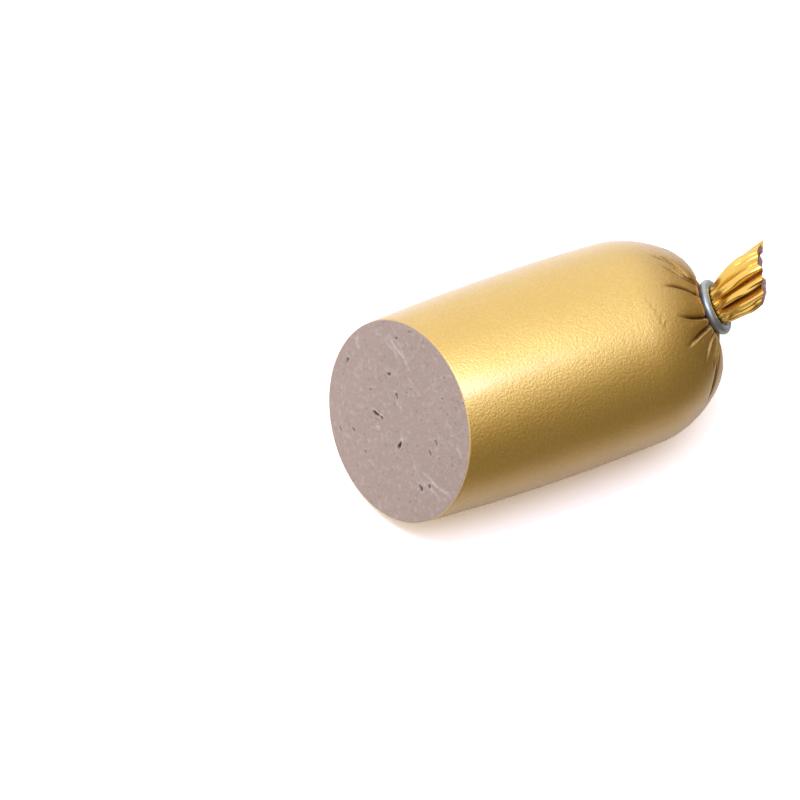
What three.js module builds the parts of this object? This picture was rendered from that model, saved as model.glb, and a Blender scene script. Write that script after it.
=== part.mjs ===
// Half of a liver sausage, as cut: a gold film casing gathered and clipped at one end,
// open at the cut, and filled with smooth cooked meat.
//
// Frame, in millimetres: +X runs along the sausage from the cut towards the clip and +Z is up.
// The origin is on the flat that the sausage rests on, below its widest point.
import * as THREE from 'three';
import { LoftGeometry } from 'three/addons/geometries/LoftGeometry.js';

// Body.
const calibreRadius = 30; // outside of the casing at its widest
const cutTaper = 1.4; // how much the radius has lost where the cut crosses the axis
const cutDistance = 40; // along the axis, from the widest point to the cut
const domeStart = 29.3; // along the axis, from the widest point to where the end rounds off
const domeLength = 24.6; // from there to the end of the round
const domePower = 2.1; // 2 is an ellipse, more is squarer
const flatDepth = 0.9; // how far the meat has settled onto the surface

// Cut.
const cutLean = THREE.MathUtils.degToRad(24.2); // the face leans back at its top
const cutTurn = THREE.MathUtils.degToRad(10.45); // and turns towards the front, -Y

// Film and fits.
const filmWall = 0.3;
const clearance = 0.3;

// Gathered end.
const pleats = 14; // folds of the film
const pleatDepth = 0.16; // share of the radius, at the clip
const neckRise = THREE.MathUtils.degToRad(30); // the neck points up by this
const neckTurn = THREE.MathUtils.degToRad(-14.5); // and a little to the front
const neckRadius = 5.1;
const gatherRadius = 1.12 * neckRadius; // where the round end turns into the neck
const fillingDrawBack = 0.6; // how far the meat stays back from the film at the neck
const buttonDepth = 0.1; // how far the gathered film stands into the bag

// Clip: a round wire bent into a ring whose ends lie side by side.
const wireRadius = 1.35;
const clipTurns = 1.12;
const clipStepTurns = 0.16; // the part of a turn in which one end steps aside
const overlapAngle = THREE.MathUtils.degToRad(-30); // where its ends pass, around the neck
const clipStandoff = 0.5; // its centre past the end of the round
const clipSide = -3.2; // its centre from the axis, across: it sits off the middle of the end
const clipLift = 9.35; // its centre above the axis

// Tail: the free end of the film.
const tailRise = THREE.MathUtils.degToRad(31);
const tailTurn = THREE.MathUtils.degToRad(4);
const tailLength = 16.5;
const tailEndRadius = 9;
const tailEndRise = THREE.MathUtils.degToRad(11); // its end is cut off at an angle, and faces this
const tailEndTurn = THREE.MathUtils.degToRad(-21); // way
const tailLobes = 5;
const tailLobeDepth = 0.24;
const tailFlatness = 0.78; // height of the tail's end as a share of its width
const tailFlare = 0.6; // under 1, it widens soon after the clip
const tailDish = 2.4;

// Fineness.
const stepsPerPleat = 5;
const around = pleats * stepsPerPleat;

const axisHeight = calibreRadius - flatDepth;
const bulge = cutTaper / cutDistance ** 2;
const clipRadius = neckRadius + clearance + wireRadius;
const clipPitch = 2 * wireRadius + clearance;
const clipSpan = clipPitch + wireRadius + clearance; // from its ring to past its outer end
const along = new THREE.Vector3(1, 0, 0);
const vertical = new THREE.Vector3(0, 0, 1);
const neckDirection = directionOf(neckRise, neckTurn);

// The clip's centre: the ring leans on the round end with its upper edge.
const clipCentre = new THREE.Vector3(
  domeStart + domeLength + clipStandoff,
  clipSide,
  axisHeight + clipLift,
);
const bedDepth = wireRadius + clearance;
const neckBase = clipCentre.clone().addScaledVector(neckDirection, -bedDepth);

function directionOf(rise, turn) {
  return new THREE.Vector3(
    Math.cos(rise) * Math.cos(turn),
    Math.cos(rise) * Math.sin(turn),
    Math.sin(rise),
  );
}

// Two directions across a given one: sideways and upwards.
function axesAcross(direction) {
  const side = vertical.clone().cross(direction).normalize();
  return { side, up: direction.clone().cross(side) };
}

// Distance of the skin from the axis at x, for a skin lying inset inside the casing's outside.
function barrelRadius(x, inset) {
  return calibreRadius - bulge * x * x - inset;
}

function endRadius(x, inset) {
  const share = Math.min((x - domeStart) / (domeLength - inset), 1);
  const slope = -2 * bulge * domeStart;
  const start = barrelRadius(domeStart, inset) + slope * (x - domeStart) * (1 - share);
  return start * (1 - share ** domePower) ** (1 / domePower);
}

// Angle around the axis of point number j: the first is at the bottom.
function angleOf(j) {
  return -Math.PI / 2 + (2 * Math.PI * j) / around;
}

// 0 on the crest of a fold and 1 at the bottom of the crease, for count folds around.
function crease(angle, count) {
  return (1 - Math.cos(count * (angle + Math.PI / 2))) / 2;
}

function bodyPoint(x, angle, inset) {
  const radius = barrelRadius(x, inset);
  const y = radius * Math.cos(angle);
  const z = axisHeight + radius * Math.sin(angle);
  return new THREE.Vector3(x, y, Math.max(z, inset));
}

// The point of the skin that lies in the plane of the cut.
function cutPoint(angle, inset) {
  let point = bodyPoint(-cutDistance, angle, inset);
  for (let i = 0; i < 8; i += 1) {
    const back = Math.tan(cutLean) * (point.z - axisHeight) - Math.tan(cutTurn) * point.y;
    point = bodyPoint(back - cutDistance, angle, inset);
  }
  return point;
}

function ring(pointAt) {
  return Array.from({ length: around }, (_, j) => pointAt(angleOf(j)));
}

// Rings from the cut to the start of the round end. The first few ease from the slant to square.
function bodyRings(inset) {
  const square = -cutDistance + calibreRadius * (Math.tan(cutLean) + Math.tan(cutTurn));
  const easing = [0, 0.34, 0.67, 1].map((share) =>
    ring((angle) => {
      const cut = cutPoint(angle, inset);
      return bodyPoint(THREE.MathUtils.lerp(cut.x, square, share), angle, inset);
    }),
  );
  const straight = [0.25, 0.5, 0.75, 1].map((share) =>
    ring((angle) => bodyPoint(THREE.MathUtils.lerp(square, domeStart, share), angle, inset)),
  );
  return [...easing, ...straight];
}

// The film can't pass through the clip: it is pressed back from the clip's plane.
function pressBehindClip(point, inset) {
  const arm = point.clone().sub(clipCentre);
  const ahead = arm.dot(neckDirection);
  const out = arm.addScaledVector(neckDirection, -ahead).length();
  const beyond = Math.max(out - clipRadius - wireRadius, 0);
  const allowed = beyond - bedDepth - inset;
  return point.addScaledVector(neckDirection, Math.min(allowed - ahead, 0));
}

// One ring of the round end. turn goes from 0 at its start to 1 at its pole. The rings drift from
// the sausage's axis to the neck's, and turn to face along it.
function endRing(turn, inset) {
  const polar = (turn * Math.PI) / 2;
  const x = domeStart + (domeLength - inset) * Math.sin(polar) ** (2 / domePower);
  const gather = (turn / lastTurn) ** 3;
  const depth = pleatDepth * turn ** 4;
  const base = neckBase.clone().addScaledVector(neckDirection, -inset);
  const centre = new THREE.Vector3(x, 0, axisHeight).lerp(base, gather);
  const facing = along.clone().lerp(neckDirection, gather ** 2).normalize();
  const { side, up } = axesAcross(facing);
  return ring((angle) => {
    const radius = endRadius(x, inset) * (1 - depth * crease(angle, pleats));
    const point = centre.clone().addScaledVector(side, radius * Math.cos(angle));
    point.addScaledVector(up, radius * Math.sin(angle));
    point.z = Math.max(point.z, inset);
    return pressBehindClip(point, inset);
  });
}

// The rings get closer together towards the neck, and stop where the skin is just wider than it.
const neckShare = (gatherRadius / barrelRadius(domeStart, 0)) ** (domePower / 2);
const lastTurn = (2 / Math.PI) * Math.acos(neckShare);
const endTurns = [0.16, 0.32, 0.48, 0.63, 0.76, 0.86, 0.94, 1].map((share) => share * lastTurn);

// drawBack is how much further the skin shrinks from the film where the film gathers.
function endRings(inset, drawBack) {
  return endTurns.map((turn) => endRing(turn, inset + drawBack * turn ** 3));
}

// A ring across the neck or the tail.
function bundleRing(centre, direction, radiusAt, flatness) {
  const { side, up } = axesAcross(direction);
  return ring((angle) => {
    const radius = radiusAt(angle);
    const point = centre.clone().addScaledVector(side, radius * Math.cos(angle));
    return point.addScaledVector(up, flatness * radius * Math.sin(angle));
  });
}

// The neck: pleated film drawn through the clip.
function neckRings() {
  return [-wireRadius / 2, wireRadius / 2, clipSpan].map((reach) => {
    const centre = clipCentre.clone().addScaledVector(neckDirection, reach);
    return bundleRing(centre, neckDirection, (angle) => {
      return neckRadius * (1 - pleatDepth * crease(angle, pleats));
    }, 1);
  });
}

const tailDirection = directionOf(tailRise, tailTurn);
const tailEndDirection = directionOf(tailEndRise, tailEndTurn);

// One ring of the tail. part goes from 0 at the clip to 1 at the free end; share scales the ring.
function tailRing(part, sink, share) {
  const reach = tailLength * part - sink;
  const centre = clipCentre.clone().addScaledVector(tailDirection, reach);
  const radius = share * THREE.MathUtils.lerp(neckRadius, tailEndRadius, part ** tailFlare);
  const depth = tailLobeDepth * part;
  const flatness = THREE.MathUtils.lerp(1, tailFlatness, part);
  const facing = neckDirection.clone().lerp(tailEndDirection, part).normalize();
  return bundleRing(centre, facing, (angle) => {
    return radius * (1 - depth * crease(angle, tailLobes));
  }, flatness);
}

function tailRings() {
  const outside = [0.4, 0.6, 0.8, 1].map((part) => tailRing(part, 0, 1));
  const dish = [
    tailRing(1, tailDish / 2, 0.75),
    tailRing(1, tailDish, 0.5),
    tailRing(1, tailDish - clearance, 0.25),
  ];
  return [...outside, ...dish];
}

// The middle of the gathered film seen from inside: a small button that closes the bag.
function button(inset) {
  const last = endRing(endTurns.at(-1), inset);
  const centre = new THREE.Vector3();
  last.forEach((point) => centre.add(point));
  centre.divideScalar(last.length).addScaledVector(neckDirection, -buttonDepth);
  return last.map((point) => point.clone().lerp(centre, 0.5));
}

function buildCasing() {
  const bag = [...bodyRings(filmWall), ...endRings(filmWall, 0), button(filmWall)];
  const outside = [...bodyRings(0), ...endRings(0, 0), ...neckRings(), ...tailRings()];
  const rings = [...bag.reverse(), ...outside];
  const geometry = new LoftGeometry(rings, { capStart: true, capEnd: true });
  const material = new THREE.MeshStandardMaterial({
    color: 0xd8ac52,
    roughness: 0.32,
    metalness: 0.85,
  });
  const mesh = new THREE.Mesh(geometry, material);
  mesh.name = 'casing';
  return mesh;
}

// The meat fills the bag, but doesn't quite follow it into the neck.
function buildFilling() {
  const inset = filmWall + clearance;
  const rings = [...bodyRings(inset), ...endRings(inset, fillingDrawBack)];
  const geometry = new LoftGeometry(rings, { capStart: true, capEnd: true });
  const material = new THREE.MeshStandardMaterial({
    color: 0xaf9a93,
    roughness: 0.6,
    metalness: 0,
  });
  const mesh = new THREE.Mesh(geometry, material);
  mesh.name = 'filling';
  return mesh;
}

// The wire's centre line: a flat ring round the neck. On its hidden side, one end steps aside by a
// pitch towards the tail, so that it passes the other.
class ClipCurve extends THREE.Curve {
  getPoint(t, target = new THREE.Vector3()) {
    const turned = (t - 0.5) * clipTurns;
    const angle = overlapAngle + Math.PI + turned * 2 * Math.PI;
    const overlapStart = 1 - clipTurns / 2;
    const aside = THREE.MathUtils.smoothstep(turned, overlapStart - clipStepTurns, overlapStart);
    const { side, up } = axesAcross(neckDirection);
    target.copy(clipCentre);
    target.addScaledVector(side, clipRadius * Math.cos(angle));
    target.addScaledVector(up, clipRadius * Math.sin(angle));
    return target.addScaledVector(neckDirection, aside * clipPitch);
  }
}

function buildClip() {
  const section = new THREE.Shape().absarc(0, 0, wireRadius, 0, 2 * Math.PI);
  const geometry = new THREE.ExtrudeGeometry(section, {
    extrudePath: new ClipCurve(),
    steps: 48,
    curveSegments: 6,
    bevelEnabled: false,
  });
  const material = new THREE.MeshStandardMaterial({
    color: 0xaab8be,
    roughness: 0.35,
    metalness: 0.9,
  });
  const mesh = new THREE.Mesh(geometry, material);
  mesh.name = 'clip';
  return mesh;
}

const sausage = new THREE.Group();
sausage.add(buildCasing(), buildFilling(), buildClip());

export default sausage;
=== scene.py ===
import math

import bpy
import numpy as np
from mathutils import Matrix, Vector


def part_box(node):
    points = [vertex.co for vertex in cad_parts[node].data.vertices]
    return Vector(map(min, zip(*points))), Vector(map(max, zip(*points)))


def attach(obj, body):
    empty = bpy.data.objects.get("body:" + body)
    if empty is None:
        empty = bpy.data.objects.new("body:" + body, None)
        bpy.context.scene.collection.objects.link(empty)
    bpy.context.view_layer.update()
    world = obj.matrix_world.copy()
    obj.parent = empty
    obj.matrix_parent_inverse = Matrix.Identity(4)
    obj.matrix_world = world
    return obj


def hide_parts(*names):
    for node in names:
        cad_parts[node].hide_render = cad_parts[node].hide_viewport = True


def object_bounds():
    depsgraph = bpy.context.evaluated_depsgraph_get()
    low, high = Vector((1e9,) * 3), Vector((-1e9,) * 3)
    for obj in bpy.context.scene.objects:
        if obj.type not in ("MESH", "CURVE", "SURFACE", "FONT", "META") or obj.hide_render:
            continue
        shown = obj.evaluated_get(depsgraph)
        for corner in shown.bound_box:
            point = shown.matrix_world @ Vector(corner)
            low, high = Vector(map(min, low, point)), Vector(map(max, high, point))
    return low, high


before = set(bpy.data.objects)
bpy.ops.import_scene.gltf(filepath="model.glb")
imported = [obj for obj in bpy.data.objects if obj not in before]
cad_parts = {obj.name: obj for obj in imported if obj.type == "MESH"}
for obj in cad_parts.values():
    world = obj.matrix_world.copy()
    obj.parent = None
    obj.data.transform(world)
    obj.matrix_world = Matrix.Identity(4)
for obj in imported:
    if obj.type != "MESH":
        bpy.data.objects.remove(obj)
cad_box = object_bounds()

# ---------------------------------------------------------------------------------------------
# The casing film.
# A gold plastic film a fifth of a millimetre thick, drawn tight over the meat.  It was a tube:
# the stuffer's clipper gathered its end into a neck, closed a wire round it and cut the rest off
# as a short tail.  So its round end is creased towards the neck, and the tail is a fan of folds.
# ---------------------------------------------------------------------------------------------
mm = 0.001

film_low, film_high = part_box("casing")
facet_loss = 0.05  # what the casing's flat facets take off its radius
calibre = (film_high.y - film_low.y) / 2 / mm + facet_loss  # radius at the widest point
settling = 0.9  # how far the meat has settled onto its resting side
axis_height = calibre - settling
cut_distance = 40.0  # from the widest point back to the cut, along the axis
cut_taper = 1.4  # how much radius is lost by then
cut_lean = math.tan(math.radians(24.2))
cut_turn = math.tan(math.radians(10.45))
round_start = 29.3  # from the widest point to where the end rounds off
round_length = 24.6
round_power = 2.1  # 2 is an ellipse, more is squarer
film_wall = 0.2

neck_radius = 5.1
neck_rise = math.radians(30)
neck_swing = math.radians(-14.5)
wire_radius = 1.35
fit = 0.3  # room between wire and neck
ring_radius = neck_radius + fit + wire_radius
ring_centre = np.array([round_start + round_length + 0.5, -3.2, axis_height + 9.35])

tail_rise = math.radians(31)
tail_swing = math.radians(4)
tail_length = 16.5
tail_end_radius = 9.0
tail_end_rise = math.radians(11)
tail_end_swing = math.radians(-21)
tail_end_flatness = 0.78

around = 360  # points in each ring of the film
even_angles = np.linspace(-math.pi / 2, 1.5 * math.pi, around, endpoint=False)
finest_angle = math.radians(125)  # the rings have more points about here, where most creases are
angles = even_angles - 0.4 * np.sin(even_angles - finest_angle)
chance = np.random.default_rng(7)


def unit(vectors):
    return vectors / np.linalg.norm(vectors, axis=-1, keepdims=True)


def heading(rise, swing):
    flat = math.cos(rise)
    return np.array([flat * math.cos(swing), flat * math.sin(swing), math.sin(rise)])


def smooth(value, start, stop):
    share = np.clip((value - start) / (stop - start), 0, 1)
    return share * share * (3 - 2 * share)


neck_way = heading(neck_rise, neck_swing)
wire_bed = wire_radius + fit
neck_base = ring_centre - neck_way * wire_bed
bulge = cut_taper / cut_distance**2


def barrel_radius(x):
    return calibre - bulge * x * x


def round_radius(x):
    share = np.clip((x - round_start) / round_length, 0, 1)
    slope = -2 * bulge * round_start
    start = barrel_radius(round_start) + slope * (x - round_start) * (1 - share)
    return start * np.clip(1 - share**round_power, 0, None) ** (1 / round_power)


gather_radius = 1.12 * neck_radius  # where the round end turns into the neck
neck_share = gather_radius / barrel_radius(round_start)
last_turn = 2 / math.pi * math.acos(neck_share ** (round_power / 2))


def across(facing):
    """Sideways and upwards directions of a ring that faces this way."""
    side = unit(np.cross([0.0, 0.0, 1.0], facing))
    return side, np.cross(facing, side)


def ring_points(centre, facing, radius, angle, flatness=1.0):
    side, up = across(facing)
    flat = (radius * np.cos(angle))[..., None] * side
    return centre + flat + (flatness * radius * np.sin(angle))[..., None] * up


def barrel_points(x, angle):
    radius = barrel_radius(x)
    y = radius * np.cos(angle)
    z = np.maximum(axis_height + radius * np.sin(angle), 0)
    return np.stack([x + 0 * angle, y, z], -1)


def cut_plane(y, z):
    """How far along the axis the knife's plane is at this place."""
    return cut_lean * (z - axis_height) - cut_turn * y - cut_distance


def about_ring(points):
    """How far points lie past the wire ring's plane, and which way they lie out from its centre."""
    arm = points - ring_centre
    past = arm @ neck_way
    return past, arm - past[..., None] * neck_way


def round_points(turn, angle):
    """The round end: turn is 0 where it starts and 1 at its pole; its rings drift to the neck."""
    turn = turn + 0 * angle
    x = round_start + round_length * np.sin(turn * math.pi / 2) ** (2 / round_power)
    gather = np.minimum(turn / last_turn, 1)[..., None] ** 3
    middle = np.stack([x, 0 * x, 0 * x + axis_height], -1)
    centre = middle + (neck_base - middle) * gather
    ahead = np.array([1.0, 0.0, 0.0])
    facing = unit(ahead + (neck_way - ahead) * gather**2)
    points = ring_points(centre, facing, round_radius(x), angle)
    points[..., 2] = np.maximum(points[..., 2], 0)
    past, level = about_ring(points)
    beyond = np.maximum(np.linalg.norm(level, axis=-1) - ring_radius - wire_radius, 0)
    return points + neck_way * np.minimum(beyond - wire_bed - past, 0)[..., None]


def keep_off_wire(points, gap=0.06):
    """Nothing of the film goes inside the wire ring."""
    nothing = 1e-6  # keeps a point on the wire's own line from dividing by zero
    _, level = about_ring(points)
    nearest = ring_centre + unit(level + nothing) * ring_radius
    off = points - nearest
    distance = np.linalg.norm(off, axis=-1, keepdims=True)
    wanted = np.maximum(distance, wire_radius + gap)
    return nearest + off / np.maximum(distance, nothing) * wanted


def sink_below_wire(points):
    """The wire bites into the gathered film, which stays below it all round."""
    depth_at_centre, rise_outwards, softness = 4.65, 0.41, 0.3
    past, level = about_ring(points)
    limit = rise_outwards * np.linalg.norm(level, axis=-1) - depth_at_centre
    excess = softness * np.log1p(np.exp(np.clip((past - limit) / softness, -30, 30)))
    return points - neck_way * excess[..., None]


# Creases in the round end.  Each runs through these points, given as (turn, degrees round the
# axis), and on into the neck.  Then come its half width, its depth and the lip beside it, in mm.
creases = [
    ([(0.21, 66), (0.32, 69), (0.39, 75), (0.44, 87), (0.66, 90)], 0.30, 0.95, 0.18),
    ([(0.30, 64), (0.41, 73), (0.49, 88), (0.70, 84)], 0.30, 0.90, 0.18),
    ([(0.25, 76), (0.34, 80), (0.42, 88), (0.62, 95)], 0.26, 0.62, 0.14),
    ([(0.18, 92), (0.33, 94), (0.43, 98), (0.48, 102), (0.70, 102)], 0.32, 0.85, 0.12),
    ([(0.22, 112), (0.30, 115), (0.45, 119), (0.80, 121)], 0.34, 1.20, 0.14),
    ([(0.20, 133), (0.31, 130), (0.44, 127), (0.70, 127)], 0.42, 1.35, 0.20),
    ([(0.31, 150), (0.35, 148), (0.43, 140), (0.50, 134), (0.70, 137)], 0.30, 0.80, 0.12),
    ([(0.40, 160), (0.46, 152), (0.56, 144), (0.70, 144)], 0.28, 0.60, 0.10),
    ([(0.30, 183), (0.38, 181), (0.49, 159), (0.59, 149), (0.72, 151)], 0.36, 1.00, 0.16),
]
back_creases = 19
for place in range(back_creases):
    middle = 174 + 246 * place / back_creases + chance.uniform(-4, 4)
    begin = chance.uniform(0.2, 0.52)
    lean = chance.uniform(-9, 9)
    course = [(begin, middle + lean), ((begin + last_turn) / 2, middle + lean / 3), (0.8, middle)]
    width = chance.uniform(0.28, 0.42)
    creases.append((course, width, chance.uniform(0.5, 1.1), chance.uniform(0.05, 0.15)))

# Short shallow wrinkles where the film was pinched, on top before the creases start.
wrinkle_width = 0.36
wrinkles = []
for place in range(8):
    turn = 0.060 + 0.006 * place + 0.012 * (place % 2)
    degrees = 98 + 2.2 * place + chance.uniform(-2, 2)
    course = [(turn, degrees), (turn + 0.010, degrees + 2), (turn + 0.006, degrees + 5)]
    wrinkles.append((course, wrinkle_width, chance.uniform(0.05, 0.09), chance.uniform(0.03, 0.05)))


def crease_course(course, steps=90):
    """Turns and degrees along a crease, rounded between the points it was given."""
    places = np.linspace(0, 1, len(course))
    reach = 17  # how many steps to either side the rounding takes in
    smoothing = np.hanning(2 * reach + 1)
    smoothing /= smoothing.sum()
    rounded = []
    for values in zip(*course):
        line = np.interp(np.linspace(0, 1, steps), places, values)
        padded = np.concatenate([np.full(reach, line[0]), line, np.full(reach, line[-1])])
        rounded.append(np.convolve(padded, smoothing, "valid"))
    return rounded


# Across a crease, in its half widths: a groove in a wide shallow hollow, a lip and a band of painted
# shade.
groove_power = 1.35  # 2 is round at the bottom, less is sharper
hollow_width = 4.5
hollow_share = 0.22  # its depth, as a share of the groove's
lip_place = 1.9
lip_width = 1.1
crease_shade_width = 1.5
fade_share = 0.3  # the part of its length over which a crease deepens


def press_creases(points, turn, angle):
    """How far each point sinks into a crease or rises on its lip, and how much painted shade it gets.
    """
    sunk = np.zeros(points.shape[:2])
    raised = np.zeros(points.shape[:2])
    shade = np.zeros(points.shape[:2])
    for runs_on, group in ((True, creases), (False, wrinkles)):
        for course, width, depth, lip in group:
            if runs_on:
                course = course + [(last_turn + 0.02, course[-1][1])]
            turns, degrees = crease_course(course)
            line = sink_below_wire(round_points(turns, np.radians(degrees)))
            near = (turn[:, 0] > turns.min() - 0.03) & (turn[:, 0] < turns.max() + 0.03)
            spread = points[near][:, :, None, :] - line[None, None, :, :]
            distance = np.linalg.norm(spread, axis=-1)
            closest = distance.argmin(-1)
            widths_off = distance.min(-1) / width
            steps = np.linalg.norm(np.diff(line, axis=0), axis=-1)
            lengths = np.append(0, np.cumsum(steps))
            run = lengths[closest] / lengths[-1]
            fade = smooth(run, 0, fade_share) if runs_on else np.sin(math.pi * run)
            gap = np.degrees(angle[None, :]) - degrees[closest]
            side = np.sign((gap + 180) % 360 - 180)
            groove = np.exp(-(widths_off**groove_power))
            hollow = hollow_share * np.exp(-((widths_off / hollow_width) ** 2))
            lips = np.exp(-(((widths_off * side - lip_place) / lip_width) ** 2))
            # The dark line down each crease is painted shade: the colour is darkened where the groove
            # would be in shade.
            crease_shade_line = min(1.5 * depth, 1.0) * np.exp(-((widths_off / crease_shade_width) ** 2))
            sunk[near] = np.maximum(sunk[near], depth * fade * (groove + hollow))
            raised[near] = np.maximum(raised[near], lip * fade * lips)
            shade[near] = np.maximum(shade[near], fade * crease_shade_line)
    return sunk, raised, shade


def grid_normals(points):
    """Outward directions of a grid of rings; angles go round, and rings go forwards."""
    onward = np.gradient(points, axis=0)
    beside = np.roll(points, -1, 1) - np.roll(points, 1, 1)
    return unit(np.cross(beside, onward))


def waves(first, second, count, shortest, longest):
    """Gentle unevenness: a sum of soft waves with seeded directions, from -1 to 1."""
    total = np.zeros(np.broadcast(first, second).shape)
    for _ in range(count):
        length = chance.uniform(shortest, longest)
        way = chance.uniform(0, 2 * math.pi)
        phase = chance.uniform(0, 2 * math.pi)
        onward = first * math.cos(way) + second * math.sin(way)
        total += np.sin(onward * 2 * math.pi / length + phase)
    return total / count


# Barrel: rings ease from the slanted cut to square ones, then run to the start of the round end.
easing_rows = 14
square_rows = 23
square = -cut_distance + calibre * (cut_lean + cut_turn)
cut_ring = barrel_points(np.full(around, -cut_distance), angles)
for _ in range(8):  # the plane's place and the radius there settle together
    cut_ring = barrel_points(cut_plane(cut_ring[:, 1], cut_ring[:, 2]), angles)
barrel_rows = [
    barrel_points(cut_ring[:, 0] + (square - cut_ring[:, 0]) * share, angles)
    for share in np.linspace(0, 1, easing_rows)
]
barrel_rows += [
    barrel_points(np.full(around, x), angles)
    for x in np.linspace(square, round_start, square_rows + 1)[1:]
]

# Round end.  It puffs out a little between its creases, before the wire draws it in.
round_rows = 112
turns = last_turn * np.linspace(0, 1, round_rows + 1)[1:] ** 0.92
turn_grid = np.repeat(turns[:, None], around, 1)
base = sink_below_wire(round_points(turn_grid, np.repeat(angles[None, :], round_rows, 0)))
sunk, raised, shade = press_creases(base, turn_grid, angles)
outward = grid_normals(base)
puff = 0.5 * smooth(turn_grid, 0.35, 0.6) * (1 - smooth(turn_grid, 0.62, 0.76))
puff *= 0.7 * (1 - np.clip(shade, 0, 1))
to_neck = np.linalg.norm(base - neck_base, axis=-1)
lift = raised + puff - np.minimum(sunk, 0.3 * to_neck)
lift *= 1 - 0.5 * smooth(turn_grid, 0.8, last_turn)
rounded_end = keep_off_wire(base + outward * lift[..., None])
rounded_end[..., 2] = np.maximum(rounded_end[..., 2], 0)

skin = np.concatenate([np.array(barrel_rows), rounded_end])
# The creases' painted shade is carried along the skin; the barrel has none.
skin_crease_shade = np.concatenate([np.zeros((len(barrel_rows), around)), np.clip(shade, 0, 1)])
# The meat is a little uneven under the film, but not at the cut, nor where it rests.  The waves
# don't join up round the girth, so they fade out towards the seam underneath.
girth = angles[None, :] * calibre
unevenness = 0.09 * waves(skin[..., 0], girth, 9, 14, 45)
seam_fade = np.abs(np.linspace(-1, 1, around))
unevenness *= 1 - smooth(seam_fade, 0.9, 1.0)[None, :]
unevenness *= smooth(skin[..., 2], 0.2, 3.0)
unevenness[0] = 0
skin = skin + grid_normals(skin) * unevenness[..., None]
skin[0, :, 0] = cut_plane(skin[0, :, 1], skin[0, :, 2])

# The bag's inside: it follows the skin, but lies below the creases of the round end.
crease_depth = 1.5
uncreased = np.concatenate([np.array(barrel_rows), base])
bag_inward = -grid_normals(uncreased)
uncreased = uncreased - bag_inward * unevenness[..., None]
crease_room = np.zeros(skin.shape[:2])
crease_room[len(barrel_rows) :] = crease_depth * smooth(turn_grid, 0.08, 0.4)


def bag(depth):
    """The skin moved this far inwards, and further below the creases."""
    return uncreased + bag_inward * (depth + crease_room)[..., None]


def pleat(angle, valleys, depths, sharpness):
    """Share of the radius lost at this angle: folds are full between valleys and sharp in them."""
    lost = np.zeros(angle.shape)
    places = np.array(valleys, float)
    turned = (np.degrees(angle) - places[0]) % 360
    starts = (places - places[0]) % 360
    ends = np.append(starts[1:], 360)
    for index, (start, end) in enumerate(zip(starts, ends)):
        inside = (turned >= start) & (turned < end)
        share = (turned - start) / (end - start)
        arch = np.clip(np.sin(math.pi * np.clip(share, 0, 1)), 0, 1) ** sharpness
        next_depth = depths[(index + 1) % len(depths)]
        depth = depths[index] * (1 - share) + next_depth * share
        lost = np.where(inside, depth * (1 - arch), lost)
    return lost


# Tail: valleys between its folds, in degrees round the neck, and how deep each cuts in.
tail_valleys = [86, 116, 148, 171, 222, 268, 318, 2, 40]
tail_depths = [0.26, 0.42, 0.66, 0.16, 0.50, 0.42, 0.50, 0.36, 0.34]
neck_valleys = [92, 102, 121, 128, 137, 151, 171, 190, 208, 229]
neck_valleys += [250, 268, 288, 309, 331, 352, 14, 33, 52, 71]
neck_depths = list(chance.uniform(0.10, 0.2, len(neck_valleys)))
neck_sharpness = 0.7
tail_sharpness = 0.55
tail_way = heading(tail_rise, tail_swing)
tail_end_way = heading(tail_end_rise, tail_end_swing)
open_side = smooth(np.cos(angles - math.radians(125)), -0.35, 0.1)

# Crisp small ridges where the film was crumpled: place, slant, half width, height, span of tail.
tail_ridges = [
    (
        chance.uniform(-90, 270),
        chance.uniform(-16, 16),
        chance.uniform(3.0, 8.0),
        chance.uniform(-0.05, 0.05),
        chance.uniform(0.1, 0.9),
        chance.uniform(0.2, 0.5),
    )
    for _ in range(22)
]


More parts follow.
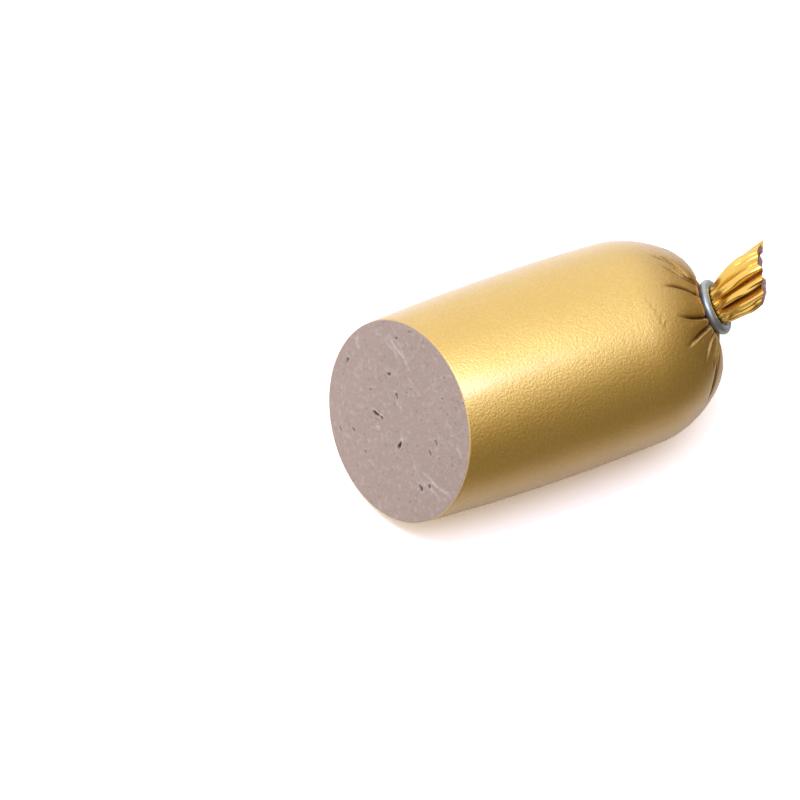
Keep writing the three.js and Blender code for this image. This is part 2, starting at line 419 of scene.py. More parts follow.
def tail_ring(part, sink=0.0, share=1.0):
    """A ring of the tail: part is 0 at the clip and 1 at its end; inner rings sink back into it."""
    degrees = np.degrees(angles)
    deep = smooth(part, 0.0, 0.3)
    # Its front opens wide, with a fuller fold at 45 degrees, and its back stays slim.
    opened = tail_end_radius - neck_radius
    fuller = 1.1 * math.sin(math.pi * part) * smooth(part, 0.05, 0.3)
    wide = neck_radius + opened * smooth(part, -0.25, 1.0) ** 0.9
    wide = wide + fuller * np.exp(-(((degrees - 45) / 45) ** 2))
    slim = neck_radius - 0.1 + opened * smooth(part, 0.3, 0.75) * part**0.5
    radius = slim + (wide - slim) * open_side
    radius *= 1 + deep * (1 - open_side) * (0.15 * np.sin(3 * angles + 0.5) - 0.15)
    # Folds, and the small ridges and dents on them.
    lost = (1 - deep) * pleat(angles, neck_valleys, neck_depths, neck_sharpness)
    lost = lost + deep * pleat(angles, tail_valleys, tail_depths, tail_sharpness)
    lost = (np.roll(lost, 1) + 2 * lost + np.roll(lost, -1)) / 4
    crumple = np.zeros(around)
    for place, slant, width, height, middle, span in tail_ridges:
        gap = (degrees - place - slant * (part - middle) + 180) % 360 - 180
        tent = np.clip(1 - np.abs(gap) / width, 0, 1)
        crumple += height * tent * smooth(span - abs(part - middle), 0, span)
    crumple += 0.020 * np.sin(21 * angles + 1.5 * np.sin(4 * part)) * np.sin(2 * angles + 4 * part)
    crumple += 0.012 * np.sin(38 * angles - 3 * part) * np.sin(3 * angles + 7 * part + 1)
    crumple += 0.014 * np.sin(13 * part + 2 * angles + 1.3 * np.sin(5 * angles))
    crumple *= smooth(part, 0.02, 0.25)
    # The end is cut off at a slant, raggedly, with one corner left long.
    ragged = 0.5 * np.sin(3 * angles + 1.0) + 0.35 * np.sin(7 * angles)
    ragged += 0.25 * np.sin(13 * angles + 2) + 1.7 * np.exp(-(((degrees - 38) / 13) ** 2))
    shift = ragged * smooth(part, 0.55, 1.0)
    facing = unit(neck_way + (tail_end_way - neck_way) * part**1.3)
    flatness = 1 + (tail_end_flatness - 1) * part
    centre = ring_centre + tail_way * (tail_length * part - sink)
    points = ring_points(centre, facing, share * radius * (1 - lost + crumple), angles, flatness)
    return points + tail_way * shift[:, None], lost


neck_rows = [
    ring_points(
        ring_centre + neck_way * reach,
        neck_way,
        (neck_radius - 0.05) * (1 - pleat(angles, neck_valleys, neck_depths, neck_sharpness)),
        angles,
    )
    for reach in (-0.9, -0.45, 0.0, 0.45, 0.9)
]
past_wire = 0.085  # where the tail starts, as a part of its length
tail_steps = 58
tail_parts = np.linspace(past_wire, 1.0, tail_steps)
tail_rows, tail_lost = zip(*(tail_ring(part) for part in tail_parts))
tail_rows = keep_off_wire(np.array(tail_rows))
tail_lost = np.array(tail_lost)

# The inside of the tail: down its wall, then over a crumpled floor to the middle.
inside_steps = 28
inside_rows = []
for step in range(1, inside_steps + 1):
    share = step / inside_steps
    wall = 1 - film_wall / tail_end_radius - 0.14 * smooth(share, 0, 0.55)
    closing = wall * (1 - smooth(share, 0.5, 1.02))
    sink = 7.0 * smooth(share, 0, 0.6) - 2.5 * smooth(share, 0.6, 1.0)
    points, _ = tail_ring(1.0, sink, closing)
    creased = 1.3 * np.sin(3 * angles + 2) + 1.0 * np.sin(5 * angles - 6 * share)
    creased += 0.7 * np.sin(8 * angles + 9 * share + 1)
    lean = smooth(share, 0.35, 0.7) * (1 - smooth(share, 0.85, 1.0))
    inside_rows.append(points + tail_way * (creased * lean)[:, None])

cut_edge = bag(film_wall)[0]
cut_edge[:, 0] = cut_plane(cut_edge[:, 1], cut_edge[:, 2])
inner_rows = slice(None, 0, -6)  # film and meat share these, so that they stay apart
inner_skin = bag(film_wall)[inner_rows]


def ringed_mesh(name, rings, first, last, measures):
    """A closed mesh through these rings (mm), ending in a point at each end, with its measures."""
    rows, count = rings.shape[:2]
    grid = np.arange(rows * count).reshape(rows, count)
    beside = np.roll(grid, -1, 1)
    quads = np.stack([grid[:-1], beside[:-1], beside[1:], grid[1:]], -1).reshape(-1, 4)
    tip, toe = rows * count, rows * count + 1
    faces = quads.tolist()
    faces += [(tip, b, a) for a, b in zip(grid[0], beside[0])]
    faces += [(toe, a, b) for a, b in zip(grid[-1], beside[-1])]
    points = np.concatenate([rings.reshape(-1, 3), [first], [last]]) * mm
    mesh = bpy.data.meshes.new(name)
    mesh.from_pydata(points.tolist(), [], faces)
    mesh.shade_smooth()
    for label, values in measures.items():
        spread = np.concatenate([values.reshape(-1), [values[0].mean()], [values[-1].mean()]])
        layer = mesh.attributes.new(label, "FLOAT", "POINT")
        layer.data.foreach_set("value", spread.astype(np.float32))
    made = bpy.data.objects.new(name, mesh)
    bpy.context.scene.collection.objects.link(made)
    return made


# What the film's surface is like: the first measure is painted shade in creases, in the tail's
# valleys, on the neck and deep inside the tail; loose is film past the wire, wrong_side is its
# uncoloured inner face, and the last is painted shade on the drawn-in round end.
film_rings = np.concatenate([inner_skin, [cut_edge], skin, neck_rows, tail_rows, inside_rows])
rows_before = len(inner_skin) + 1
rows_inside = len(inside_rows)
painted_shade = np.zeros(film_rings.shape[:2])
painted_shade[rows_before : rows_before + len(skin)] = skin_crease_shade
tail_from = rows_before + len(skin) + len(neck_rows)
deepest_loss = 0.48
# Painted shade: a fixed share on the neck under the wire, and in the tail's valleys as much as each
# cuts in.
painted_shade[tail_from - len(neck_rows) : tail_from] = 0.6
painted_shade[tail_from : tail_from + len(tail_rows)] = np.clip(tail_lost / deepest_loss, 0, 1) ** 1.7
loose = np.zeros(film_rings.shape[:2])
loose[tail_from - len(neck_rows) :] = 1
wrong_side = np.zeros(film_rings.shape[:2])
wrong_side[:rows_before] = 1
# Deep inside the tail, its inner face gives way to painted shade.
deep_inside = smooth(np.linspace(0, 1, rows_inside), 0.1, 0.5)[:, None]
wrong_side[-rows_inside:] = 1 - 0.8 * deep_inside
painted_shade[-rows_inside:] = deep_inside
# Painted shade over the drawn-in round end: it grows towards the neck and is heavier towards its top
# and back.
gathered = np.zeros(film_rings.shape[:2])
shaded_side = 0.35 + 0.65 * smooth(np.cos(angles - math.radians(60)), -0.1, 0.65)
round_end_shade_rise = 0.75 * smooth(turn_grid, 0.0, 0.5) + 0.25 * smooth(turn_grid, 0.45, 0.8)
gathered[rows_before + len(barrel_rows) : rows_before + len(skin)] = round_end_shade_rise * shaded_side
film = ringed_mesh(
    "casing_film", film_rings, inner_skin[0].mean(0), inside_rows[-1].mean(0),
    {"painted_shade": painted_shade, "loose": loose, "wrong_side": wrong_side, "gathered": gathered},
)


def plug(tree, made, inputs):
    """Gives a node's inputs, by name or number, their values or other nodes' outputs."""
    for label, value in inputs.items():
        if isinstance(value, bpy.types.NodeSocket):
            tree.links.new(value, made.inputs[label])
        else:
            made.inputs[label].default_value = value


def node(tree, kind, inputs, **settings):
    made = tree.nodes.new(kind)
    for label, value in settings.items():
        setattr(made, label, value)
    plug(tree, made, inputs)
    return made


def number(tree, operation, *values):
    """The result of a sum on these values."""
    return node(tree, "ShaderNodeMath", dict(enumerate(values)), operation=operation).outputs[0]


def blend_colours(tree, share, first, second):
    first, second = ((*value, 1) if isinstance(value, tuple) else value for value in (first, second))
    mix = node(tree, "ShaderNodeMix", {}, data_type="RGBA")
    plug(tree, mix, {0: share, 6: first, 7: second})
    return mix.outputs[2]


def fine_grain_group():
    """Grain that film, meat and wire all have at their own scale: a height and a speckle mask."""
    tree = bpy.data.node_groups.new("fine_grain", "ShaderNodeTree")
    tree.interface.new_socket("Position", in_out="INPUT", socket_type="NodeSocketVector")
    for label, start in (("Grain Scale", 1500.0), ("Speckle Scale", 900.0)):
        socket = tree.interface.new_socket(label, in_out="INPUT", socket_type="NodeSocketFloat")
        socket.default_value = start
    for label in ("Height", "Speckle"):
        tree.interface.new_socket(label, in_out="OUTPUT", socket_type="NodeSocketFloat")
    given = tree.nodes.new("NodeGroupInput").outputs
    wanted = tree.nodes.new("NodeGroupOutput").inputs
    grain = node(tree, "ShaderNodeTexNoise", {
        "Vector": given["Position"], "Scale": given["Grain Scale"], "Detail": 3.0, "Roughness": 0.6})
    speckle = node(tree, "ShaderNodeTexVoronoi", {
        "Vector": given["Position"], "Scale": given["Speckle Scale"], "Randomness": 1.0})
    tree.links.new(grain.outputs["Fac"], wanted["Height"])
    tree.links.new(speckle.outputs["Distance"], wanted["Speckle"])
    return tree


fine_grain = fine_grain_group()


def new_material(name):
    material = bpy.data.materials.new(name)
    material.use_nodes = True
    tree = material.node_tree
    shader = tree.nodes["Principled BSDF"]
    place = tree.nodes.new("ShaderNodeTexCoord").outputs["Object"]
    return material, tree, shader, place


def surface_measure(tree, label):
    return node(tree, "ShaderNodeAttribute", {}, attribute_name=label).outputs["Fac"]


def gold_film_material():
    """Gold seen through lacquer: brassy where stretched, yellower past the wire, with painted shade in
    creases, valleys and on the drawn-in round end.
    """
    material, tree, shader, place = new_material("gold film")
    grain = node(tree, "ShaderNodeGroup", {
        "Position": place, "Grain Scale": 1450.0, "Speckle Scale": 1300.0}, node_tree=fine_grain)
    cloud = node(tree, "ShaderNodeTexNoise", {"Vector": place, "Scale": 90.0, "Detail": 2.0})
    cloudy = cloud.outputs["Fac"]
    painted_shade_share = surface_measure(tree, "painted_shade")
    slack = surface_measure(tree, "loose")
    inner = surface_measure(tree, "wrong_side")
    round_end_shade = surface_measure(tree, "gathered")

    stretched = blend_colours(tree, cloudy, (0.70, 0.42, 0.052), (0.78, 0.49, 0.075))
    slack_gold = blend_colours(tree, cloudy, (0.88, 0.48, 0.055), (0.95, 0.66, 0.15))
    # Painted shade: the drawn-in round end is darkened towards brown.
    round_end_shade_share = number(tree, "MULTIPLY", round_end_shade, 0.9)
    stretched = blend_colours(tree, round_end_shade_share, stretched, (0.40, 0.19, 0.017))
    gold = blend_colours(tree, slack, stretched, slack_gold)
    speckled = number(tree, "MULTIPLY", grain.outputs["Speckle"], 0.28)
    speckled = number(tree, "MULTIPLY", speckled, number(tree, "SUBTRACT", 1.0, slack))
    gold = blend_colours(tree, speckled, gold, (0.95, 0.72, 0.28))
    # Painted shade in creases, the tail's valleys, the neck and deep inside the tail: a darkening to
    # brown.
    gold = blend_colours(tree, number(tree, "MULTIPLY", painted_shade_share, 0.95), gold, (0.105, 0.034, 0.005))
    colour = blend_colours(tree, inner, gold, (0.78, 0.52, 0.48))

    metal = number(tree, "MULTIPLY_ADD", inner, -0.55, 0.72)
    metal = number(tree, "ADD", metal, number(tree, "MULTIPLY", slack, 0.16))
    roughness = number(tree, "MULTIPLY_ADD", grain.outputs["Height"], 0.12, 0.33)
    roughness = number(tree, "SUBTRACT", roughness, number(tree, "MULTIPLY", slack, 0.17))
    lacquer = number(tree, "MULTIPLY_ADD", slack, -0.6, 1.0)
    # Less lacquer where shade is painted, so that the painted shade stays dark.
    lacquer = number(tree, "MULTIPLY_ADD", painted_shade_share, -0.85, lacquer)
    lacquer = number(tree, "MULTIPLY_ADD", round_end_shade, -0.5, lacquer)
    stretch = number(tree, "MULTIPLY_ADD", slack, -0.94, 1.0)
    bump = node(tree, "ShaderNodeBump", {
        "Strength": 0.8, "Distance": 0.00020,
        "Height": number(tree, "MULTIPLY", grain.outputs["Height"], stretch)})
    plug(tree, shader, {
        "Base Color": colour, "Metallic": metal, "Roughness": roughness,
        "Coat Weight": number(tree, "MAXIMUM", lacquer, 0.0), "Coat Roughness": 0.25,
        "Coat IOR": 1.85, "Normal": bump.outputs["Normal"]})
    return material


film.data.materials.append(gold_film_material())
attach(film, "root")
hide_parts("casing")

# ---------------------------------------------------------------------------------------------
# The meat.
# Finely ground liver sausage, cooked in its casing until it set, so it fills the film.
# The knife left its face smooth but for small air holes, smears of fat and a little drag.
# ---------------------------------------------------------------------------------------------
meat_gap = 0.12
meat_rows = bag(film_wall + meat_gap)[inner_rows]
face_edge = bag(film_wall + 0.03)[0]
face_edge[:, 0] = cut_plane(face_edge[:, 1], face_edge[:, 2])
face_centre = np.array([cut_plane(0.0, axis_height), 0.0, axis_height])
face_way = unit(np.array([-1.0, -cut_turn, cut_lean]))

# Holes in the face, placed on it by (sideways, upwards) from its centre, and their radii.
holes = [
    (24.4, -0.8, 0.55), (10.5, 8.8, 0.5), (4.5, 6.4, 0.6), (7.2, -4.2, 0.8), (4.7, -3.3, 0.6),
    (14.3, -18.9, 0.5), (10.4, -15.0, 0.45), (-4.9, -4.0, 0.8), (-14.2, 8.0, 0.5), (-14.4, 3.9, 0.5),
    (3.1, -16.2, 0.4), (-18.2, -6.9, 0.75), (-20.1, -3.9, 0.55), (14.8, 19.1, 0.45),
    (12.2, 24.6, 0.4), (12.8, -0.4, 0.4), (-8.1, 19.8, 0.35), (-5.1, 25.2, 0.35), (1.9, 12.3, 0.3),
]
# Smears of fat that the knife drew out: both ends, half width, and how marked each is.
smears = [
    ((17.6, 17.6), (5.0, 16.2), 0.30, 1.0), ((18.4, 15.9), (8.6, 14.9), 0.22, 0.8),
    ((14.8, 18.6), (7.0, 17.8), 0.20, 0.6), ((22.0, 14.6), (19.3, 14.8), 0.25, 0.7),
    ((-15.8, -3.0), (-27.9, 0.2), 0.30, 1.0), ((-14.5, -5.5), (-25.5, -3.4), 0.22, 0.8),
    ((-9.8, -2.4), (-15.6, -5.0), 0.20, 0.7), ((-17.2, -8.2), (-19.4, -7.2), 0.3, 0.8),
    ((26.8, 6.8), (22.4, 5.6), 0.28, 0.9), ((25.6, 7.6), (23.4, 7.0), 0.20, 0.6),
    ((4.3, 5.6), (0.3, 4.4), 0.22, 0.8), ((-3.2, -3.2), (-5.8, -7.5), 0.20, 0.5),
    ((-20.0, 14.0), (-23.8, 12.4), 0.3, 0.8), ((-12.0, -2.0), (-15.5, -7.5), 0.2, 0.5),
    ((22.0, -8.0), (19.0, -12.0), 0.3, 0.5), ((5.2, -6.0), (3.0, -7.0), 0.4, 0.7),
    ((13.0, -19.6), (9.2, -17.4), 0.3, 0.6), ((-2.0, 20.0), (-7.2, 19.0), 0.2, 0.5),
    ((-13.0, 16.0), (-17.0, 15.4), 0.25, 0.5), ((1.4, -17.4), (-3.0, -16.2), 0.25, 0.5),
]

face_steps = 96
shares = 1 - np.arange(face_steps) / face_steps
face_rows = face_centre + (face_edge - face_centre)[None] * shares[:, None, None]
sideways = face_rows[..., 1]
upwards = face_rows[..., 2] - axis_height
dent = np.zeros(sideways.shape)
rims = np.zeros(sideways.shape)
for side, rise, radius in holes:
    lean, long = chance.uniform(0, math.pi), chance.uniform(1.0, 1.7)
    apart, above = sideways - side, upwards - rise
    onward = (apart * math.cos(lean) + above * math.sin(lean)) / long
    beside = (above * math.cos(lean) - apart * math.sin(lean)) * math.sqrt(long)
    way = np.arctan2(beside, onward)
    edge = radius * (1 + 0.16 * np.sin(2 * way + 5 * lean) + 0.12 * np.sin(3 * way + side))
    distance = np.hypot(onward, beside) / edge
    dent = np.maximum(dent, 1.2 * radius * np.clip(1 - distance**2, 0, 1) ** 0.7)
    rim = np.exp(-(((distance - 1.45) / 0.4) ** 2))
    rims = np.maximum(rims, rim * (1 + np.sin(way + lean)) / 2)
smeared = np.zeros(sideways.shape)
for start, end, width, strength in smears:
    start, end = np.array(start), np.array(end)
    along = end - start
    apart, above = sideways - start[0], upwards - start[1]
    held = np.clip((apart * along[0] + above * along[1]) / (along @ along), 0, 1)
    wander = 0.35 * np.sin(9 * held + start[0])
    off = np.hypot(apart - along[0] * held, above - along[1] * held + wander)
    broken = 0.72 + 0.28 * np.sin(13 * held + 3 * start[1]) * np.sin(29 * held + start[0])
    streak = np.sin(math.pi * held) ** 0.5 * np.exp(-((off / (1.3 * width)) ** 2))
    smeared = np.maximum(smeared, strength * broken * streak)
relief = 0.22 * smeared - dent + 0.12 * rims
relief += 0.05 * waves(sideways, upwards, 14, 1.6, 5.0) + 0.10 * waves(sideways, upwards, 7, 9, 26)
inside_edge = smooth(1 - shares, 0.0, 0.02)[:, None]
face_rows = face_rows + face_way * (relief * inside_edge)[..., None]

# From the middle of the face to its edge, then along the film to the neck.
deepest_hole = 0.6
under_film = np.zeros(meat_rows.shape[:2])
meat_measures = {
    # Deeper in a hole, more painted shade.
    "hole_shade": np.clip(dent / deepest_hole, 0, 1),
    "fat": np.maximum(smeared, 0.5 * rims),
    "face": np.ones(face_rows.shape[:2]),
}
meat = ringed_mesh(
    "liver_sausage_meat",
    np.concatenate([meat_rows, face_rows])[::-1],
    face_rows[-1].mean(0),
    meat_rows[0].mean(0),
    {
        label: np.concatenate([under_film, values])[::-1]
        for label, values in meat_measures.items()
    },
)


def meat_material():
    """Mauve grey meat, finely mottled, with pale fat, and painted shade in its holes and pores."""
    material, tree, shader, place = new_material("liver sausage meat")
    grain = node(tree, "ShaderNodeGroup", {
        "Position": place, "Grain Scale": 1100.0, "Speckle Scale": 700.0}, node_tree=fine_grain)
    cloud = node(tree, "ShaderNodeTexNoise", {"Vector": place, "Scale": 70.0, "Detail": 3.0})
    fine = node(tree, "ShaderNodeTexNoise", {"Vector": place, "Scale": 620.0, "Detail": 4.0})
    mottle = fine.outputs["Fac"]
    lighter = node(tree, "ShaderNodeMapRange", {
        "Value": mottle, "From Min": 0.52, "From Max": 0.80, "To Max": 0.5})
    darker = node(tree, "ShaderNodeMapRange", {
        "Value": grain.outputs["Speckle"], "From Min": 0.17, "From Max": 0.05, "To Max": 0.5})
    fatty = number(tree, "MULTIPLY", surface_measure(tree, "fat"), 0.62)
    pore_shade_share = number(tree, "MULTIPLY", surface_measure(tree, "pore_shade"), 0.6)

    colour = blend_colours(tree, cloud.outputs["Fac"], (0.378, 0.276, 0.222), (0.438, 0.325, 0.264))
    for share, tone in (
        (lighter.outputs["Result"], (0.64, 0.51, 0.47)),
        (darker.outputs["Result"], (0.25, 0.17, 0.15)),
        (fatty, (0.80, 0.69, 0.64)),
        # Painted shade in the pores.
        (pore_shade_share, (0.20, 0.12, 0.10)),
        # Painted shade at the bottom of the holes.
        (surface_measure(tree, "hole_shade"), (0.06, 0.03, 0.025)),
    ):
        colour = blend_colours(tree, share, colour, tone)

    height = number(tree, "ADD", mottle, grain.outputs["Height"])
    bump = node(tree, "ShaderNodeBump", {"Strength": 0.8, "Distance": 0.00022, "Height": height})
    plug(tree, shader, {
        "Base Color": colour, "Roughness": number(tree, "MULTIPLY_ADD", mottle, 0.25, 0.42),
        "Subsurface Weight": 0.12, "Subsurface Radius": (1.0, 0.45, 0.35),
        "Subsurface Scale": 0.0012, "Normal": bump.outputs["Normal"]})
    return material


meat_look = meat_material()
meat.data.materials.append(meat_look)


def new_tree(name, inputs):
    """A node tree that takes and gives geometry, with a material and these further inputs."""
    tree = bpy.data.node_groups.new(name, "GeometryNodeTree")
    tree.interface.new_socket("Geometry", in_out="INPUT", socket_type="NodeSocketGeometry")
    for label, (kind, start) in inputs.items():
        tree.interface.new_socket(label, in_out="INPUT", socket_type=kind).default_value = start
    tree.interface.new_socket("Material", in_out="INPUT", socket_type="NodeSocketMaterial")
    tree.interface.new_socket("Geometry", in_out="OUTPUT", socket_type="NodeSocketGeometry")
    return tree, tree.nodes.new("NodeGroupInput").outputs


def push_out(tree, geometry, height):
    """Moves the surface along its own normals by this height."""
    push = node(tree, "ShaderNodeVectorMath", {
        0: node(tree, "GeometryNodeInputNormal", {}).outputs[0], "Scale": height}, operation="SCALE")
    return node(tree, "GeometryNodeSetPosition", {"Geometry": geometry, "Offset": push.outputs[0]})


def end_tree(tree, geometry, material):
    real = node(tree, "GeometryNodeRealizeInstances", {"Geometry": geometry})
    done = node(tree, "GeometryNodeSetMaterial", {"Geometry": real.outputs[0], "Material": material})
    plug(tree, tree.nodes.new("NodeGroupOutput"), {"Geometry": done.outputs[0]})
    return tree


def pore_tree():
    """Presses small pores into the cut face: seeded points, and a dent round each one, kept as a
    measure for the pores' painted shade.
    """
    tree, given = new_tree("pores", {
        "Pores per m2": ("NodeSocketFloat", 60000.0), "Pore Radius": ("NodeSocketFloat", 0.00035),
        "Pore Depth": ("NodeSocketFloat", 0.0002), "Seed": ("NodeSocketInt", 3)})
    face = node(tree, "GeometryNodeInputNamedAttribute", {"Name": "face"}, data_type="FLOAT")
    on_cut = node(tree, "FunctionNodeCompare", {
        "A": face.outputs["Attribute"], "B": 0.9}, data_type="FLOAT", operation="GREATER_THAN")
    points = node(tree, "GeometryNodeDistributePointsOnFaces", {
        "Mesh": given["Geometry"], "Selection": on_cut.outputs["Result"],
        "Density": given["Pores per m2"], "Seed": given["Seed"]})
    size = node(tree, "FunctionNodeRandomValue", {2: 0.35, 3: 1.0, "Seed": given["Seed"]},
                data_type="FLOAT")
    sized = node(tree, "GeometryNodeStoreNamedAttribute", {
        "Geometry": points.outputs["Points"], "Name": "size", "Value": size.outputs[1]},
        data_type="FLOAT", domain="POINT")
    nearest = node(tree, "GeometryNodeSampleNearest", {"Geometry": sized.outputs[0]}, domain="POINT")
    here = node(tree, "GeometryNodeInputPosition", {}).outputs[0]
    label = node(tree, "GeometryNodeInputNamedAttribute", {"Name": "size"}, data_type="FLOAT")
    pore_place = node(tree, "GeometryNodeSampleIndex", {
        "Geometry": sized.outputs[0], "Index": nearest.outputs[0], "Value": here},
        data_type="FLOAT_VECTOR")
    pore_size = node(tree, "GeometryNodeSampleIndex", {
        "Geometry": sized.outputs[0], "Index": nearest.outputs[0],
        "Value": label.outputs["Attribute"]}, data_type="FLOAT")
    apart = node(tree, "ShaderNodeVectorMath", {0: here, 1: pore_place.outputs[0]},
                 operation="DISTANCE")
    radius = number(tree, "MULTIPLY", given["Pore Radius"], pore_size.outputs[0])
    pressed = number(tree, "DIVIDE", apart.outputs["Value"], radius)
    pressed = number(tree, "MAXIMUM", number(tree, "SUBTRACT", 1.0, pressed), 0.0)
    pressed = number(tree, "MULTIPLY", pressed, on_cut.outputs["Result"])
    sunk_by = number(tree, "MULTIPLY", given["Pore Depth"], -1.0)
    dented = push_out(tree, given["Geometry"], number(tree, "MULTIPLY", pressed, sunk_by))
    # The dent is kept as a measure, for painted shade in the pore.
    marked = node(tree, "GeometryNodeStoreNamedAttribute", {
        "Geometry": dented.outputs[0], "Name": "pore_shade", "Value": pressed},
        data_type="FLOAT", domain="POINT")
    return end_tree(tree, marked.outputs[0], given["Material"])


def apply_tree(piece, tree, values):
    """Runs a node tree on a piece with these inputs, and keeps the result as its plain mesh."""
    modifier = piece.modifiers.new(tree.name, "NODES")
    modifier.node_group = tree
    for item in tree.interface.items_tree:
        if item.item_type == "SOCKET" and item.in_out == "INPUT" and item.name in values:
            modifier[item.identifier] = values[item.name]
    evaluated = piece.evaluated_get(bpy.context.evaluated_depsgraph_get())
    result = bpy.data.meshes.new_from_object(evaluated)
    piece.modifiers.remove(modifier)
    return result


meat.data = apply_tree(meat, pore_tree(), {
    "Pores per m2": 90000.0, "Pore Radius": 0.0006, "Pore Depth": 0.00022, "Seed": 11,
    "Material": meat_look})
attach(meat, "root")
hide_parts("filling")

# ---------------------------------------------------------------------------------------------
# The clip.
# Round aluminium wire, bent tightly round the gathered neck by the clipper.  Its ends pass each
# other on the far side, and its surface is dull and finely marked by the tool.
# ---------------------------------------------------------------------------------------------
clip_turns = 1.12
clip_step_turns = 0.16
overlap_angle = math.radians(-30)
clip_pitch = 2 * wire_radius + fit
clip_steps = 150

turned = (np.linspace(0, 1, clip_steps) - 0.5) * clip_turns
wire_angle = overlap_angle + math.pi + turned * 2 * math.pi
overlap_start = 1 - clip_turns / 2
aside = smooth(turned, overlap_start - clip_step_turns, overlap_start) * clip_pitch
wire_path = ring_points(ring_centre, neck_way, np.full(clip_steps, ring_radius), wire_angle)
wire_path = wire_path + neck_way * aside[:, None]


def wire_tree():
    """Sweeps a round section along the wire's path, marks it finely and closes its ends."""
    tree, given = new_tree("bent_wire", {
        "Wire Radius": ("NodeSocketFloat", 0.001), "Mark Height": ("NodeSocketFloat", 0.00004),
        "Mark Scale": ("NodeSocketFloat", 900.0)})
    line = node(tree, "GeometryNodeMeshToCurve", {"Mesh": given["Geometry"]})
    evenly = node(tree, "GeometryNodeResampleCurve", {"Curve": line.outputs[0], "Count": 260})
    section = node(tree, "GeometryNodeCurvePrimitiveCircle", {
        "Resolution": 48, "Radius": given["Wire Radius"]})
    swept = node(tree, "GeometryNodeCurveToMesh", {
        "Curve": evenly.outputs[0], "Profile Curve": section.outputs["Curve"], "Fill Caps": True})
    marks = node(tree, "ShaderNodeTexNoise", {"Scale": given["Mark Scale"], "Detail": 2.0})
    level = number(tree, "SUBTRACT", marks.outputs["Fac"], 0.5)
    height = number(tree, "MULTIPLY", level, given["Mark Height"])
    marked = push_out(tree, swept.outputs[0], height)
    soft = node(tree, "GeometryNodeSetShadeSmooth", {"Geometry": marked.outputs[0]})
    return end_tree(tree, soft.outputs[0], given["Material"])


def clip_material():
    """Dull aluminium with a cold grey oxide, a little polished where the tool slid."""
    material, tree, shader, place = new_material("dull aluminium wire")
    grain = node(tree, "ShaderNodeGroup", {
        "Position": place, "Grain Scale": 2600.0, "Speckle Scale": 1700.0}, node_tree=fine_grain)
    cloud = node(tree, "ShaderNodeTexNoise", {"Vector": place, "Scale": 240.0, "Detail": 3.0})
    colour = blend_colours(tree, cloud.outputs["Fac"], (0.33, 0.40, 0.41), (0.50, 0.56, 0.56))
    bright = number(tree, "MULTIPLY", grain.outputs["Speckle"], 0.35)
    colour = blend_colours(tree, bright, colour, (0.62, 0.66, 0.68))
    bump = node(tree, "ShaderNodeBump", {
        "Strength": 0.5, "Distance": 0.00005, "Height": grain.outputs["Height"]})
    plug(tree, shader, {
        "Base Color": colour, "Metallic": 0.75,
        "Roughness": number(tree, "MULTIPLY_ADD", grain.outputs["Height"], 0.2, 0.26),
        "Normal": bump.outputs["Normal"]})
    return material


path_mesh = bpy.data.meshes.new("wire_path")
path_mesh.from_pydata((wire_path * mm).tolist(), [(i, i + 1) for i in range(clip_steps - 1)], [])
clip = bpy.data.objects.new("wire_clip", path_mesh)
bpy.context.scene.collection.objects.link(clip)
clip.data = apply_tree(clip, wire_tree(), {
    "Wire Radius": wire_radius * mm, "Mark Height": 0.00008, "Mark Scale": 1100.0,
    "Material": clip_material()})
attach(clip, "root")
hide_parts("clip")

# ---------------------------------------------------------------------------------------------
# The studio: a white table under a wide pale ceiling that is brightest above and behind, one soft
# strip light right over the sausage, and a dark room in front.
# ---------------------------------------------------------------------------------------------
table_half = 1.5
corners = [(-table_half, -table_half, 0), (table_half, -table_half, 0)]
corners += [(table_half, table_half, 0), (-table_half, table_half, 0)]
table_mesh = bpy.data.meshes.new("table")
table_mesh.from_pydata(corners, [], [(0, 1, 2, 3)])
table = bpy.data.objects.new("table", table_mesh)
bpy.context.scene.collection.objects.link(table)


def table_material():
    """White as seen, but in front it throws little light back up, as if dark card lay there."""
    material, tree, _, place = new_material("white table")
    white = node(tree, "ShaderNodeBsdfDiffuse", {"Color": (1.60, 1.54, 1.47, 1)})
    where = node(tree, "ShaderNodeSeparateXYZ", {"Vector": place}).outputs
    far_right = number(tree, "MAXIMUM", number(tree, "SUBTRACT", where["X"], 0.06), 0.0)
    spread = node(tree, "ShaderNodeMapRange", {
        "Value": number(tree, "SUBTRACT", where["Y"], far_right),
        "From Min": -0.15, "From Max": 0.15})
    cards = node(tree, "ShaderNodeValToRGB", {"Fac": spread.outputs["Result"]})
    ramp = cards.color_ramp
    ramp.elements[0].position = 0.10
    ramp.elements[0].color = (0.10, 0.07, 0.04, 1)
    ramp.elements[1].position = 0.36
    ramp.elements[1].color = (0.60, 0.56, 0.50, 1)
    for stop, colour in ((0.24, (0.20, 0.15, 0.10, 1)), (0.70, (0.95, 0.93, 0.90, 1))):
        ramp.elements.new(stop).color = colour
    dull = node(tree, "ShaderNodeBsdfDiffuse", {"Color": cards.outputs["Color"]})
    seen = tree.nodes.new("ShaderNodeLightPath").outputs["Is Camera Ray"]
    both = node(tree, "ShaderNodeMixShader", {0: seen, 1: dull.outputs[0], 2: white.outputs[0]})
    plug(tree, tree.nodes["Material Output"], {"Surface": both.outputs[0]})
    return material


table.data.materials.append(table_material())

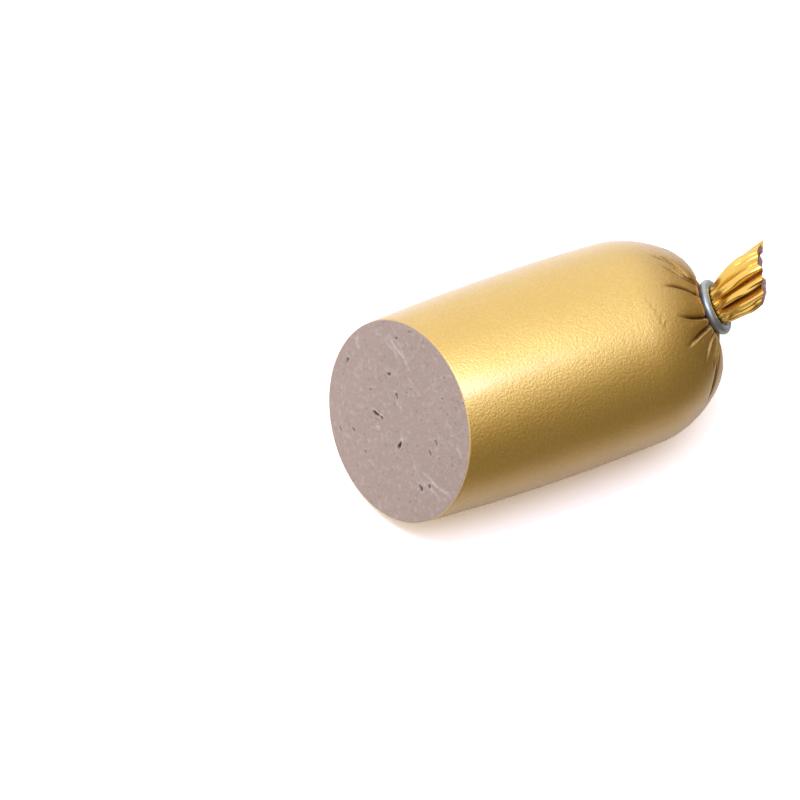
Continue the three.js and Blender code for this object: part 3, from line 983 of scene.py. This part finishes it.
low, high = cad_box
middle = (Vector(low) + Vector(high)) / 2
strip = bpy.data.lights.new("overhead_strip", "AREA")
strip.shape = "RECTANGLE"
strip.size = 0.9
strip.size_y = 0.30
strip.energy = 4.3
strip.color = (0.80, 0.89, 1.35)
lamp = bpy.data.objects.new("overhead_strip", strip)
lamp.location = (-0.15, -0.10, 1.0)
lamp.rotation_euler = (middle - lamp.location).to_track_quat("-Z", "Y").to_euler()
bpy.context.scene.collection.objects.link(lamp)

# The room's walls and ceiling: dark and warm in front, bright and white above and behind.
walls = bpy.data.worlds.new("room")
walls.use_nodes = True
room_tree = walls.node_tree
sky_way = Vector((-0.55, 0.47, 0.69)).normalized()
view_way = room_tree.nodes.new("ShaderNodeTexCoord").outputs["Generated"]
towards = node(room_tree, "ShaderNodeVectorMath", {0: view_way, 1: sky_way}, operation="DOT_PRODUCT")
glow = node(room_tree, "ShaderNodeMapRange", {
    "Value": towards.outputs["Value"], "From Min": -0.40, "From Max": 0.36,
    "To Min": 0.10, "To Max": 1.05}, interpolation_type="SMOOTHSTEP").outputs["Result"]
tint = blend_colours(room_tree, glow, (1.0, 0.60, 0.32), (1.0, 1.0, 1.0))
plug(room_tree, room_tree.nodes["Background"], {"Strength": glow, "Color": tint})
bpy.context.scene.world = walls
bpy.context.scene.view_settings.view_transform = "Standard"

# The camera looks down on the sausage from the front, from far off.
camera_swing = math.radians(-21.65)
camera_height = math.radians(60)
camera_distance = 1.174
camera_left = 0.0447  # how far the camera stands to the left of the sausage's middle, and below it
camera_down = 0.0096
sensor_width = 36
view_width = 0.2279  # what it sees at 1.2 m
flat = math.cos(camera_height)
back = Vector((math.sin(camera_swing) * flat, -math.cos(camera_swing) * flat, math.sin(camera_height)))
right = Vector((math.cos(camera_swing), math.sin(camera_swing), 0))
up = back.cross(right)
camera_data = bpy.data.cameras.new("camera")
camera_data.sensor_width = sensor_width
camera_data.lens = sensor_width * 1.2 / view_width
camera = bpy.data.objects.new("camera", camera_data)
camera.location = middle + back * camera_distance - right * camera_left - up * camera_down
camera.rotation_euler = back.to_track_quat("Z", "Y").to_euler()
bpy.context.scene.collection.objects.link(camera)
bpy.context.scene.camera = camera
